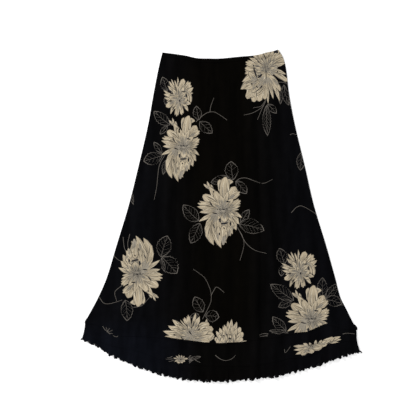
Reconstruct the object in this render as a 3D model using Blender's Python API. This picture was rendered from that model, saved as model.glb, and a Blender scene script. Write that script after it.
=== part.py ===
"""A maxi skirt laid flat with its front up: a front and a back panel that flare from a narrow elastic waist
casing, and two flounces sewn inside the hem, one below the other, the lower one with a lettuce edge.

Metres, +Z up, the waist towards +Y. The back panel lies on the floor at z = 0. A place on the skirt is given by
its share across, from 0 at the left side seam to 1 at the right one, and its station down the skirt.
"""

import math

import bmesh
import bpy

MM = 0.001

WALL = 1.0 * MM
CASING_WALL = 1.8 * MM
GAP = 0.3 * MM
LAYER = WALL + GAP  # from the underside of one layer to that of the next
STEEPEST = 0.7  # the flattest a wall's normal may stand before its upright thickness stops growing

# Stations: 0 is the waist edge, 1 the body's hem, 2 the upper flounce's hem and 3 the lower flounce's.
CASING_END = 0.015
BODY_TOP = 0.0154
UPPER_SEAM = 0.977
LOWER_SEAM = 1.65
BELOW_WAIST = ((0, 0), (1, 802), (2, 860), (3, 902))  # station, mm below the waist at centre front

# The side seams: height above the middle, left and right edge, in mm.
SIDES = (
    (466, -160, 162),
    (444, -165, 175),
    (410, -173, 184),
    (343, -186, 192),
    (253, -202, 209),
    (141, -228, 236),
    (29, -256, 262),
    (-83, -290, 296),
    (-172, -317, 321),
    (-228, -341, 336),
    (-262, -359, 353),
    (-295, -376, 369),
    (-318, -380, 380),
    (-346, -387, 382),
    (-380, -390, 391),
)

# The edges across the skirt: share across, then the height of the waist and of the three hems, in mm.
EDGES = (
    (0.00, 458, -300, -323, -345),
    (0.05, 456, -307, -347, -361),
    (0.10, 454, -332, -362, -386),
    (0.20, 449, -336, -378, -420),
    (0.30, 442, -343, -405, -445),
    (0.40, 441, -357, -416, -458),
    (0.50, 441, -361, -419, -461),
    (0.60, 444, -349, -419, -455),
    (0.70, 447, -339, -407, -447),
    (0.75, 448, -332, -398, -437),
    (0.80, 450, -326, -395, -427),
    (0.85, 453, -318, -383, -417),
    (0.90, 458, -305, -358, -402),
    (0.95, 461, -315, -351, -388),
    (1.00, 466, -318, -351, -380),
)

# Soft folds that stand up from the front: share across and mm below the waist at the top, the same at the
# foot, then width and height in mm. A foot past 902 runs off the hem.
FOLDS = (
    (0.060, 330, 0.100, 960, 56, 3.5),
    (0.150, 120, 0.262, 720, 46, 4.0),
    (0.270, 90, 0.352, 990, 52, 4.5),
    (0.420, 30, 0.436, 560, 44, 3.0),
    (0.520, 330, 0.497, 990, 58, 4.5),
    (0.705, 110, 0.605, 1050, 46, 6.0),
    (0.800, 140, 0.668, 1050, 46, 6.0),
    (0.870, 170, 0.765, 800, 44, 4.5),
    (0.950, 210, 0.900, 960, 46, 4.0),
)
FOLD_FADE = 0.18  # share of a fold's length over which each end dies away
SIDE_FALL = 24 * MM  # the front comes down onto the back over this width at each side

GATHER_HEIGHT = 0.9 * MM  # of the elastic's gathers, one at every other coarse column
GATHER_LENGTH = 75  # mm below the waist

SWAYS = 9  # waves across the front of the flounces
SWAY_HEIGHT = 3.2 * MM
SWAY_SHARE = ((0, 0), (0.94, 0), (1, 0.3), (2, 1), (3, 0.7))  # station, share of the height

RUFFLES = 45  # lettuce waves across each side of the lower flounce
COLUMNS_PER_RUFFLE = 4
RUFFLE_SHARE = ((0, 0), (2.25, 0), (2.65, 0.3), (3, 1))
RUFFLE_REACH = 3.5 * MM  # from the hem's innermost point to the top of a bulge

# Rows of each piece: station and the number of layers that lie under it there.
CASING_ROWS = ((0, 0), (CASING_END, 0))
BODY_STATIONS = (0.03, 0.06, 0.12, 0.2, 0.3, 0.4, 0.5, 0.6, 0.7, 0.8, 0.88, 0.94)
FRONT_BODY_ROWS = (
    (BODY_TOP, 2),
    *((station, 1.5 if station < 0.06 else 1) for station in BODY_STATIONS),
    (UPPER_SEAM, 3),
    (1, 3),
)
BACK_BODY_ROWS = (
    (BODY_TOP, 0),
    *((station, 0) for station in BODY_STATIONS[1::2]),
    (1, 0),
)
FRONT_UPPER_ROWS = ((UPPER_SEAM, 2), (1, 2), (1.25, 2), (LOWER_SEAM, 3), (2, 3))
BACK_UPPER_ROWS = ((UPPER_SEAM, 1), (1, 1), (1.25, 0), (LOWER_SEAM, 0), (2, 0))
FRONT_LOWER_ROWS = ((LOWER_SEAM, 2), (2, 2), (2.25, 2), (2.65, 2), (3, 2.8))
BACK_LOWER_ROWS = ((LOWER_SEAM, 1), (2, 1), (2.25, 0), (3, 0))
FRONT_RUFFLE_HEIGHTS = (3.0 * MM, 6.0 * MM)  # lowest and highest wave
BACK_RUFFLE_HEIGHTS = (0.8 * MM, 1.6 * MM)

CLOTH = (0.0075, 0.007, 0.0075, 1)
TRIM = (0.006, 0.006, 0.007, 1)
CLOTH_ROUGHNESS = 0.85


def mix(a, b, share):
    return a + (b - a) * share


def eased(share):
    """0 to 1 with level ends."""
    share = min(max(share, 0), 1)
    return share * share * (3 - 2 * share)


def straight(table, at):
    """The second column of a table at a value of its first, in straight runs."""
    for (a, low), (b, high) in zip(table, table[1:]):
        if at <= b:
            return mix(low, high, max(at - a, 0) / (b - a))
    return table[-1][1]


def curved(table, column, at):
    """A column of a table at a value of its first one, on a smooth curve through the rows."""
    knots = [row[0] for row in table]
    values = [row[column] for row in table]
    if knots[0] > knots[-1]:
        knots, values = knots[::-1], values[::-1]
    last = len(knots) - 1
    at = min(max(at, knots[0]), knots[last])
    i = next(k for k in range(last) if at <= knots[k + 1])

    def slope(k):
        before, after = max(k - 1, 0), min(k + 1, last)
        return (values[after] - values[before]) / (knots[after] - knots[before])

    run = knots[i + 1] - knots[i]
    t = (at - knots[i]) / run
    start = (2 * t**3 - 3 * t**2 + 1) * values[i] + (t**3 - 2 * t**2 + t) * run * slope(i)
    return start + (3 * t**2 - 2 * t**3) * values[i + 1] + (t**3 - t**2) * run * slope(i + 1)


def height_at(across, station):
    """Y of a place on the skirt."""
    upper = min(int(station), 2)
    rows = [curved(EDGES, upper + edge, across) for edge in (1, 2)]
    return mix(*rows, station - upper) * MM


def sides_at(station):
    """X of the left and of the right side seam at a station."""
    return [
        curved(SIDES, side, height_at(share, station) / MM) * MM for side, share in ((1, 0), (2, 1))
    ]


def flat_place(across, station):
    left, right = sides_at(station)
    return mix(left, right, across), height_at(across, station)


def side_fall(across, station):
    """0 at the side seams and 1 away from them."""
    left, right = sides_at(station)
    return eased(min(across, 1 - across) * (right - left) / SIDE_FALL)


def fold_lift(across, station):
    """How far the folds lift the front."""
    left, right = sides_at(station)
    down = straight(BELOW_WAIST, station)
    lift = 0
    for top, top_down, foot, foot_down, width, height in FOLDS:
        along = (down - top_down) / (foot_down - top_down)
        off = (across - mix(top, foot, along)) * (right - left) / (width * MM)
        if 0 < along < 1 and abs(off) < 0.5:
            fade = eased(min(along, 1 - along) / FOLD_FADE)
            lift += height * MM * fade * math.cos(math.pi * off) ** 2
    return lift


def sway_lift(across, station):
    """How far the flounces' broad waves lift the front, which start in the body just above its hem."""
    turn = SWAYS * (across + 0.02 * math.sin(2 * math.pi * 2.3 * across))
    return SWAY_HEIGHT * straight(SWAY_SHARE, station) * (1 - math.cos(2 * math.pi * turn)) / 2


def ruffle_columns(start):
    """The shares across at the columns of the lettuce waves, uneven in width, and each column's wave, as
    (share across, height from 0 to 1, bulge from 0 to 1)."""
    widths = [1 + 0.3 * math.sin(2.4 * (k + start)) for k in range(RUFFLES)]
    columns, done = [], 0
    for k, width in enumerate(widths):
        height = 0.5 + 0.5 * math.sin(1.7 * (k + start))
        for step in range(COLUMNS_PER_RUFFLE):
            along = step / COLUMNS_PER_RUFFLE
            across = (done + width * along) / sum(widths)
            columns.append((across, height, (1 - math.cos(2 * math.pi * along)) / 2))
        done += width
    return columns + [(1, 0, 0)]


FINE = ruffle_columns(0)
COARSE = FINE[::COLUMNS_PER_RUFFLE]


def column_lift(k, station):
    """How far the front is lifted at one of the coarse columns."""
    across = COARSE[k][0]
    fade = eased(1 - straight(BELOW_WAIST, station) / GATHER_LENGTH)
    gather = GATHER_HEIGHT * fade * (k % 2)
    lift = fold_lift(across, station) + sway_lift(across, station) + gather
    return lift * side_fall(across, station)


def front_lift(across, station):
    """The lift of the front layers, in straight runs between the coarse columns that they share."""
    k = next(i for i in range(RUFFLES) if across <= COARSE[i + 1][0])
    start, end = COARSE[k][0], COARSE[k + 1][0]
    return mix(column_lift(k, station), column_lift(k + 1, station), (across - start) / (end - start))


def wall_between(name, under, thick):
    """A closed wall: the sheet through the rows of points under it, extruded upwards to be thick."""
    form = bmesh.new()
    verts = [[form.verts.new(point) for point in row] for row in under]
    for upper, lower in zip(verts, verts[1:]):
        for a, b, c, d in zip(upper, lower, lower[1:], upper[1:]):
            form.faces.new((a, b, c, d))
    form.normal_update()
    lift = form.verts.layers.float.new("lift")
    for v in form.verts:
        v[lift] = thick / max(abs(v.normal.z), STEEPEST)
    raised = bmesh.ops.extrude_face_region(form, geom=form.faces[:], use_keep_orig=True)
    for item in raised["geom"]:
        if isinstance(item, bmesh.types.BMVert):
            item.co.z += item[lift]
    form.verts.layers.float.remove(lift)
    bmesh.ops.recalc_face_normals(form, faces=form.faces)
    mesh = bpy.data.meshes.new(name)
    form.to_mesh(mesh)
    form.free()
    return mesh


def cloth_material(name, colour):
    material = bpy.data.materials.new(name)
    material.use_nodes = True
    shader = material.node_tree.nodes["Principled BSDF"]
    shader.inputs["Base Color"].default_value = colour
    shader.inputs["Roughness"].default_value = CLOTH_ROUGHNESS
    shader.inputs["Metallic"].default_value = 0
    return material


def add_piece(name, rows, columns, front, colour, thick=WALL, base=0, ruffle=None):
    """One cloth piece, its underside raised by base and by the layers under it, and as the front is lifted."""
    under = []
    for station, layers in rows:
        flutter = straight(RUFFLE_SHARE, station) if ruffle else 0
        row = []
        for across, height, bulge in columns:
            x, y = flat_place(across, station)
            z = base + layers * LAYER
            if front:
                z += front_lift(across, station)
            if ruffle:
                z += mix(*ruffle, height) * bulge * flutter * side_fall(across, station)
                y -= RUFFLE_REACH * (0.4 + 0.6 * height) * (bulge - 0.5) * flutter
            row.append((x, y, z))
        under.append(row)
    mesh = wall_between(name, under, thick)
    mesh.shade_smooth()
    mesh.set_sharp_from_angle(angle=math.radians(50))
    mesh.materials.append(cloth_material(name + "_cloth", colour))
    piece = bpy.data.objects.new(name, mesh)
    bpy.context.scene.collection.objects.link(piece)
    return piece


def build_skirt():
    for thing in list(bpy.data.objects):
        bpy.data.objects.remove(thing)
    back_fine = ruffle_columns(7)
    pieces = [
        add_piece("body_back", BACK_BODY_ROWS, COARSE, False, CLOTH),
        add_piece("body_front", FRONT_BODY_ROWS, COARSE, True, CLOTH),
        add_piece("waist_casing_back", CASING_ROWS, COARSE, False, TRIM, CASING_WALL),
        add_piece("waist_casing_front", CASING_ROWS, COARSE, True, TRIM, CASING_WALL, CASING_WALL + GAP),
        add_piece("upper_flounce_back", BACK_UPPER_ROWS, COARSE, False, CLOTH),
        add_piece("upper_flounce_front", FRONT_UPPER_ROWS, COARSE, True, CLOTH),
        add_piece("lower_flounce_back", BACK_LOWER_ROWS, back_fine, False, TRIM, ruffle=BACK_RUFFLE_HEIGHTS),
        add_piece("lower_flounce_front", FRONT_LOWER_ROWS, FINE, True, TRIM, ruffle=FRONT_RUFFLE_HEIGHTS),
    ]
    points = [v.co for piece in pieces for v in piece.data.vertices]
    skirt = bpy.data.objects.new("skirt", None)
    bpy.context.scene.collection.objects.link(skirt)
    for axis in (0, 1):
        reach = [point[axis] for point in points]
        skirt.location[axis] = -(min(reach) + max(reach)) / 2
    for piece in pieces:
        piece.parent = skirt
    bpy.context.view_layer.update()


build_skirt()
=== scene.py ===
"""The looks of a black maxi skirt with a cream flower print, laid flat with its front up.

A place on the skirt is given as in the solids' source: by its share across, from 0 at the left side seam to
1 at the right one, and its station: 0 the waist edge, 1 the body's hem, 2 and 3 the flounces' hems. Lengths
in tables and in the print are in mm, and all others in metres. The print is drawn flat, as polygons laid
over one another, and cut into each panel's mesh, so that every face has one ink.
"""

import math
import random

import bpy
import numpy as np
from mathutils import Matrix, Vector
from mathutils.bvhtree import BVHTree
from mathutils.geometry import delaunay_2d_cdt


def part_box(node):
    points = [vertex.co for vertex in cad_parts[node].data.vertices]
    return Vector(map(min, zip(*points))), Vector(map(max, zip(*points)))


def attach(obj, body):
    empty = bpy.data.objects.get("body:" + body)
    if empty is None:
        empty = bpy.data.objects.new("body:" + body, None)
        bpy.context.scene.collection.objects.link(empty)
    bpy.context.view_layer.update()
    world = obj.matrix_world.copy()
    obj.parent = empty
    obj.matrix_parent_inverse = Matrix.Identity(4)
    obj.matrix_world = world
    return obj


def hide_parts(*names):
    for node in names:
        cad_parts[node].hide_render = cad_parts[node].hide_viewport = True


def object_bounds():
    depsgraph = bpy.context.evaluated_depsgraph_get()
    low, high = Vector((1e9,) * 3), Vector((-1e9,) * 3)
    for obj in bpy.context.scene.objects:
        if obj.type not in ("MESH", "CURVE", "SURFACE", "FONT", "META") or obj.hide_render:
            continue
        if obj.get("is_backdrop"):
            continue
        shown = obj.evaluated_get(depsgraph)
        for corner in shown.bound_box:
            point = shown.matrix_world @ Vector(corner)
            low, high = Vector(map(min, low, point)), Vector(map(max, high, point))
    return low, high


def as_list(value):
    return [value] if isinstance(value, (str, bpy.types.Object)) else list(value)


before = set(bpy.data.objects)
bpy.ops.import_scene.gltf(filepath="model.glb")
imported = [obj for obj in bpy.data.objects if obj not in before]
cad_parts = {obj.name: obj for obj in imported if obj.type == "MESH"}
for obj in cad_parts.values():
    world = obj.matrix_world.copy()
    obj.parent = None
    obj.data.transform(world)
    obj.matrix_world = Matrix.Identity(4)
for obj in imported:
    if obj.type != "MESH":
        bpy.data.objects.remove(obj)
cad_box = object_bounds()

MM = 0.001
BODY = "root"

# ---- the form, as in the solids

WALL = 1.0 * MM
GAP = 0.3 * MM
LAYER = WALL + GAP
CASING_WALL = 1.8 * MM
CASING_END = 0.015
BODY_TOP = 0.0154
UPPER_SEAM = 0.977
LOWER_SEAM = 1.65
BELOW_WAIST = ((0, 0), (1, 802), (2, 860), (3, 902))  # station, mm below the waist at centre front

# Height above the middle, left and right side seam.
SIDES = (
    (466, -160, 162), (444, -165, 175), (410, -173, 184), (343, -186, 192), (253, -202, 209),
    (141, -228, 236), (29, -256, 262), (-83, -290, 296), (-172, -317, 321), (-228, -341, 336),
    (-262, -359, 353), (-295, -376, 369), (-318, -380, 380), (-346, -387, 382), (-380, -390, 391),
)

# Share across, then the height of the waist and of the three hems.
EDGES = (
    (0, 458, -300, -323, -345), (0.05, 456, -307, -347, -361), (0.1, 454, -332, -362, -386),
    (0.2, 449, -336, -378, -420), (0.3, 442, -343, -405, -445), (0.4, 441, -357, -416, -458),
    (0.5, 441, -361, -419, -461), (0.6, 444, -349, -419, -455), (0.7, 447, -339, -407, -447),
    (0.75, 448, -332, -398, -437), (0.8, 450, -326, -395, -427), (0.85, 453, -318, -383, -417),
    (0.9, 458, -305, -358, -402), (0.95, 461, -315, -351, -388), (1, 466, -318, -351, -380),
)

# Share across and mm below the waist at the top, the same at the foot, then width and height in mm.
FOLDS = (
    (0.06, 330, 0.1, 960, 56, 3.5), (0.15, 120, 0.262, 720, 46, 4.0), (0.27, 90, 0.352, 990, 52, 4.5),
    (0.42, 30, 0.436, 560, 44, 3.0), (0.52, 330, 0.497, 990, 58, 4.5), (0.705, 110, 0.605, 1050, 46, 6.0),
    (0.8, 140, 0.668, 1050, 46, 6.0), (0.87, 170, 0.765, 800, 44, 4.5), (0.95, 210, 0.9, 960, 46, 4.0),
)
FOLD_FADE = 0.18
SIDE_FALL = 24 * MM

SWAYS = 9
SWAY_HEIGHT = 3.2 * MM
SWAY_SHARE = ((0, 0), (0.94, 0), (1, 0.3), (2, 1), (3, 0.7))

RUFFLES = 45
RUFFLE_SHARE = ((0, 0), (2.2, 0), (2.65, 0.3), (3, 1))
RUFFLE_REACH = 3.5 * MM

# Station and the number of layers under each front or back piece there.
LEVELS = {
    "body_front": ((0, 2), (BODY_TOP, 2), (0.06, 1), (0.94, 1), (UPPER_SEAM, 3), (1, 3)),
    "body_back": ((0, 0), (1, 0)),
    "upper_flounce_front": ((UPPER_SEAM, 2), (1.25, 2), (LOWER_SEAM, 3), (2, 3)),
    "upper_flounce_back": ((UPPER_SEAM, 1), (1, 1), (1.25, 0), (2, 0)),
    "lower_flounce_front": ((LOWER_SEAM, 2), (2.65, 2), (3, 2.8)),
    "lower_flounce_back": ((LOWER_SEAM, 1), (2, 1), (2.25, 0), (3, 0)),
}

# ---- finer form, in the cloth only

CLOTH_THICK = 0.55 * MM
HEM_THICK = 0.95 * MM  # where a hem is turned twice
HEM_TURN = 6 * MM

# Narrow creases, as FOLDS: a height below 0 is a trough.
CREASES = (
    (0.11, 40, 0.15, 260, 12, 0.9), (0.215, 20, 0.235, 330, 14, 1.0), (0.245, 350, 0.292, 640, 20, -1.6),
    (0.33, 15, 0.345, 240, 12, 0.9), (0.365, 420, 0.392, 700, 18, -1.3), (0.385, 20, 0.395, 190, 11, 1.2),
    (0.47, 25, 0.462, 280, 13, 1.0), (0.455, 560, 0.468, 880, 20, -1.2), (0.56, 20, 0.548, 210, 12, 0.9),
    (0.575, 240, 0.56, 610, 18, 1.1), (0.64, 30, 0.622, 330, 14, 1.1), (0.752, 190, 0.634, 905, 17, -2.6),
    (0.79, 330, 0.742, 640, 15, -1.8), (0.76, 15, 0.742, 170, 11, 0.9), (0.845, 60, 0.83, 300, 14, 1.0),
    (0.925, 250, 0.888, 560, 15, -1.6), (0.03, 420, 0.045, 620, 12, 0.9), (0.175, 640, 0.19, 900, 22, 1.4),
    (0.12, 560, 0.16, 800, 20, -1.2), (0.84, 620, 0.815, 900, 20, 1.5), (0.545, 640, 0.54, 905, 16, 1.2),
)
CREASE_FADE = 0.3
AIR = 0.9 * MM  # the front's rise off the back, so that troughs don't reach it
LIFT_ROUND = 0.3 * MM  # how softly the front's lift ends at nothing
SWAY_DRIFT = (0.02, 2.3)  # how far the sways stray from an even pitch, and how often across the skirt
WAIST_GATHERS = 44
GATHER_STRAY = 0.3  # from an even pitch, in pitches
GATHER_FALL = 8 * MM  # to the side seams
GATHER_HEIGHTS = (0.35 * MM, 0.85 * MM)
GATHER_WIDTHS = (4.5 * MM, 8.0 * MM)
GATHER_LENGTHS = (25, 110)
# Height, wavelengths along x and y, and phase.
SLACK = ((0.25, 61, 37, 1.0), (0.2, 83, 149, 2.2), (0.18, -47, 112, 4.0), (0.12, 29, -71, 0.4))

CASING_STITCH = 0.8  # the share of the casing's height at which it is stitched
CASING_DIP = (0.16, 0.07)  # at the stitches: its depth in walls, its width in casings
CASING_SQUARE = 6  # how late the casing rounds over towards its edges
CASING_EDGE = 0.45  # of the wall, left at its edges
GATHER_EDGE = 0.3  # of the gathers, left there

FIND_STEPS = 7
CURVE_POINTS = 3000  # that a smooth curve is read at
RUFFLE_WIDTHS = (0.3, 2.4)  # how much the lettuce waves' widths differ, and how that runs from wave to wave
RUFFLE_PHASE = 1.7  # how their heights do
RUFFLE_GROWTH = 1.2  # a power: how late they rise
RUFFLE_CURL = 0.9 * MM  # how far a wave's sides lean over it
RUFFLE_CURLS = (0.4, 1)  # the share of it in the lowest and the highest wave
RUFFLE_LEAN = (0.45, 1.1)  # how far the waves lean to a side, and how that runs from wave to wave
HEM_REACH = 1.75  # the waves' reach in the cloth over that in the solids
HEM_REACHES = (0.25, 1.2)  # the share of it in the lowest and the highest wave
FRILLS = 93  # finer waves along the lettuce edge
FRILL_REACH = 1.0 * MM
FRILL_RISE = 0.7  # of their reach
FRILL_DRIFT = (2.6, 9)  # how far the frills stray from an even pitch, and how often

rng = random.Random(11)


def mix(a, b, share):
    return a + (b - a) * share


def eased(share):
    share = np.clip(share, 0, 1)
    return share * share * (3 - 2 * share)


def straight(table, at):
    return np.interp(at, [row[0] for row in table], [row[1] for row in table])


def stepped(table, at):
    """As straight, but each run eases out of one row and into the next."""
    knots = np.array([row[0] for row in table], float)
    values = np.array([row[1] for row in table], float)
    at = np.clip(at, knots[0], knots[-1])
    i = np.clip(np.searchsorted(knots, at) - 1, 0, len(knots) - 2)
    return mix(values[i], values[i + 1], eased((at - knots[i]) / (knots[i + 1] - knots[i])))


def circle(sides):
    turns = np.linspace(0, math.tau, sides, endpoint=False)
    return np.cos(turns), np.sin(turns)


def curve(table, column):
    """A function that reads a column of a table on a smooth curve through its rows."""
    rows = sorted(table)
    knots = np.array([row[0] for row in rows], float)
    values = np.array([row[column] for row in rows], float)
    ahead = np.minimum(np.arange(len(rows)) + 1, len(rows) - 1)
    behind = np.maximum(np.arange(len(rows)) - 1, 0)
    slopes = (values[ahead] - values[behind]) / (knots[ahead] - knots[behind])
    at = np.linspace(knots[0], knots[-1], CURVE_POINTS)
    i = np.clip(np.searchsorted(knots, at) - 1, 0, len(knots) - 2)
    run = knots[i + 1] - knots[i]
    t = (at - knots[i]) / run
    curved = (2 * t**3 - 3 * t**2 + 1) * values[i] + (t**3 - 2 * t**2 + t) * run * slopes[i]
    curved += (3 * t**2 - 2 * t**3) * values[i + 1] + (t**3 - t**2) * run * slopes[i + 1]
    return lambda share: np.interp(share, at, curved)


EDGE_CURVES = [curve(EDGES, k) for k in range(1, 5)]
SIDE_CURVES = [curve(SIDES, 1), curve(SIDES, 2)]


def height_at(across, station):
    """Y of places on the skirt, before the shift to the middle."""
    heights = np.stack([read(across) for read in EDGE_CURVES]) * MM
    upper = np.clip(np.floor(station).astype(int), 0, 2)
    k = np.arange(upper.size)
    flat = heights.reshape(4, -1)
    low, high = flat[upper.ravel(), k], flat[upper.ravel() + 1, k]
    return mix(low, high, (station - upper).ravel()).reshape(np.shape(station))


def sides_at(station):
    zero = np.zeros_like(station)
    return [
        read(height_at(zero + share, station) / MM) * MM for share, read in enumerate(SIDE_CURVES)
    ]


def width_at(station):
    left, right = sides_at(station)
    return right - left


def place(across, station):
    """X and Y of places on the skirt in the frame."""
    across, station = np.broadcast_arrays(np.asarray(across, float), np.asarray(station, float))
    left, right = sides_at(station)
    return mix(left, right, across) + SHIFT[0], height_at(across, station) + SHIFT[1]


def to_middle():
    """The shift that the solids' source gives the skirt so that its outline's middle is the origin."""
    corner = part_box("body_back")[1]
    right, top = np.array([1.0]), np.array([BODY_TOP])
    return corner.x - float(sides_at(right)[1][0]), corner.y - float(height_at(right, top)[0])


SHIFT = to_middle()


def find(x, y):
    """The share across and station of places in the frame: place, turned round."""
    x, y = np.asarray(x, float) - SHIFT[0], np.asarray(y, float) - SHIFT[1]
    across, station = np.full(x.shape, 0.5), np.full(x.shape, 0.5)
    for _ in range(FIND_STEPS):
        left, right = sides_at(station)
        across = np.clip((x - left) / (right - left), 0, 1)
        heights = [read(across) * MM for read in EDGE_CURVES]
        station = np.zeros_like(x)
        for k in range(3):
            station += np.clip((heights[k] - y) / (heights[k] - heights[k + 1]), 0, 1)
    return across, station


def ridges(rows, across, station, fade):
    """The height of the folds or creases of a table at places on the skirt."""
    wide, down = width_at(station), straight(BELOW_WAIST, station)
    lift = np.zeros_like(across)
    for top, top_down, foot, foot_down, width, height in rows:
        along = (down - top_down) / (foot_down - top_down)
        off = np.clip((across - mix(top, foot, along)) * wide / (width * MM), -0.5, 0.5)
        ends = eased(np.minimum(along, 1 - along) / fade)
        lift += height * MM * ends * np.cos(math.pi * off) ** 2
    return lift


def side_fall(across, station, width=SIDE_FALL):
    return eased(np.minimum(across, 1 - across) * width_at(station) / width)


# The waist's fine gathers: share across, height, width and length.
GATHERS = [
    (
        (k + 0.5 + rng.uniform(-GATHER_STRAY, GATHER_STRAY)) / WAIST_GATHERS,
        rng.uniform(*GATHER_HEIGHTS),
        rng.uniform(*GATHER_WIDTHS),
        rng.uniform(*GATHER_LENGTHS),
    )
    for k in range(WAIST_GATHERS)
]


def gather_lift(across, station):
    wide, down = width_at(station), straight(BELOW_WAIST, station)
    lift = np.zeros_like(across)
    for middle, height, width, length in GATHERS:
        off = (across - middle) * wide / width
        lift += height * np.exp(-4 * off**2) * eased(1 - down / length)
    return lift


def slack(x, y):
    """The cloth's small unevenness."""
    lift = 0
    for height, along_x, along_y, phase in SLACK:
        lift = lift + height * MM * np.sin(math.tau * (x / along_x + y / along_y) / MM + phase)
    return lift


def front_lift(across, station):
    """How far the front layers are lifted, the same for all of them."""
    x, y = place(across, station)
    stray, strays = SWAY_DRIFT
    turn = SWAYS * (across + stray * np.sin(math.tau * strays * across))
    sway = SWAY_HEIGHT * straight(SWAY_SHARE, station) * (1 - np.cos(math.tau * turn)) / 2
    lift = ridges(FOLDS, across, station, FOLD_FADE) + ridges(CREASES, across, station, CREASE_FADE)
    lift = (lift + sway + slack(x, y) + AIR) * side_fall(across, station)
    lift = lift + gather_lift(across, station) * side_fall(across, station, GATHER_FALL)
    return (lift + np.sqrt(lift**2 + LIFT_ROUND**2)) / 2


def casing_outer(name, across, station):
    """The waist casing's upper side: a strip that rounds over at its waist edge and dips at its stitches."""
    base = CASING_WALL + GAP if name.endswith("front") else 0
    share = station / CASING_END
    round_over = np.clip(1 - np.abs(2 * share - 1) ** CASING_SQUARE, 0, 1) ** 0.5
    dip, dip_width = CASING_DIP
    stitched = np.exp(-(((share - CASING_STITCH) / dip_width) ** 2))
    puffed = CASING_WALL * (mix(CASING_EDGE, 1, round_over) - dip * stitched)
    lift = gather_lift(across, np.zeros_like(station)) * side_fall(across, station, GATHER_FALL)
    return base + puffed + lift * mix(GATHER_EDGE, 1, round_over)


def outer(name, across, station):
    """The height of a piece's upper side."""
    if "casing" in name:
        return casing_outer(name, across, station)
    base = stepped(LEVELS[name], station) * LAYER + WALL
    return base + front_lift(across, station) if name.endswith("front") else base


# ---- the print

INKS = ("cloth", "line", "edge", "petal", "shade", "light", "vein", "deep")

# The petals of a flower about its heart, from the undermost up: foot, tip, width, how far it turns to its
# left in degrees, and the form of its tip, which is a point where none is named. A flower's lip lies over its
# petals, and its darks, with foot, tip and width, lie between them. The large flower opens upwards, with two
# tall petals, and closes in a ball below. The small one has its ball at the right.
LARGE_PETALS = (
    (-37, 58, -55, 74, 7, 14), (-36, 58, -45, 82, 7, -6), (-27, 52, -35, 73, 8, 4),
    (-2, 6, -40, 68, 25, 14), (4, 76, 28, 80, 16, -40), (-6, 44, -9, 87, 18, 2, "round"),
    (1, 4, 5, 94, 31, 0, "round"), (8, 6, 34, 67, 27, -16, "round"), (15, 28, 47, 52, 19, -18, "teeth"),
    (8, 4, 49, 28, 19, -8, "teeth"), (10, 2, 48, 13, 12, -10), (12, 0, 44, 3, 8, -12),
    (-6, 8, -57, 41, 26, 12, "round"), (-8, 5, -71, 20, 18, 6, "teeth"), (-10, 2, -73, 11, 16, -8),
    (-8, -2, -66, -5, 17, 12), (-14, -5, -68, -31, 13, 10), (12, -2, 53, -20, 12, -26),
    (-2, 6, -24, 54, 19, 8, "round"), (0, 8, -7, 44, 15, 4), (3, 8, 14, 54, 16, -4),
    (6, 6, 27, 33, 15, -10, "round"), (-4, 4, -40, 25, 17, 6), (-20, -6, -26, -97, 29, 80),
    (-22, -12, -44, -76, 13, 62), (8, -8, 45, -38, 20, -28), (6, -10, 37, -55, 20, -22),
    (4, -12, 20, -71, 21, -10, "teeth"), (-10, -10, 9, -91, 22, 40), (-15, -8, -5, -105, 25, 48),
    (-20, -14, -24, -70, 12, 46), (0, -96, 3, -42, 25, 0, "round"), (-14, -84, -13, -43, 12, -14),
    (18, -70, 14, -44, 12, 12, "round"), (6, -82, 9, -58, 9, -6, "round"), (26, -54, 25, -32, 10, 16),
)
LARGE_LIP = (
    (9, -3, 33, -16, 9, -24), (8, -5, 24, -31, 13, -14), (-3, -4, -15, -25, 11, 14),
    (4, -4, 4, -32, 21, -4, "round"),
)
LARGE_DARKS = (
    (-17, 2, -14, 4, 2.8), (-11, 3, -8, 2, 2.4), (-3, 4, 5, 2, 3.6), (9, 3, 14, 5, 2.2),
    (-10, -17, -8, -34, 5.5), (-7, -37, 15, -34, 5), (20, -32, 21, -43, 5), (1, -47, 4, -52, 3.5),
    (-11, -62, -9, -70, 3), (-28, -38, -24, -50, 3), (-38, 26, -28, 12, 3), (8, 26, 20, 24, 4),
    (-26, 50, -28, 56, 3), (-30, -6, -16, -9, 3.5),
)
SMALL_PETALS = (
    (0, 4, -5, 61, 9, 0), (-3, 4, -15, 52, 9, 6), (-5, 4, -26, 55, 8, 4), (-6, 4, -34, 49, 11, 10),
    (-7, 3, -38, 36, 12, 10), (-20, 8, -52, 23, 7, -14), (-9, 2, -51, 12, 13, 10),
    (-10, -2, -50, 3, 8, -26), (-9, -2, -41, -9, 12, 26), (-8, -4, -42, -24, 18, 26, "round"),
    (-6, -6, -29, -44, 11, 30), (-2, -6, -9, -50, 15, 4, "teeth"), (4, -8, 9, -46, 14, -4, "teeth"),
    (8, -8, 30, -35, 13, -14), (10, -6, 39, -15, 13, 6), (2, 4, 15, 55, 22, -6, "round"),
    (6, 4, 38, 46, 24, -16, "teeth"), (8, 3, 47, 31, 18, -10), (8, 1, 46, 16, 12, -14),
    (14, 24, 38, -12, 15, -84), (10, 22, 32, -8, 10, -74), (-3, 2, -22, 27, 16, 12),
    (0, 4, -4, 37, 14, -4), (3, 4, 15, 31, 13, -14, "round"), (-4, -2, -33, 3, 15, 18, "round"),
    (-3, -5, -19, -29, 17, 20, "round"), (2, -7, 5, -33, 14, -8), (4, -6, 24, -22, 12, -10, "round"),
)
SMALL_LIP = (
    (2, -2, 24, 17, 12, -26), (5, -5, 27, 1, 15, 28, "round"), (-1, -3, -9, 12, 9, 8),
)
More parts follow.
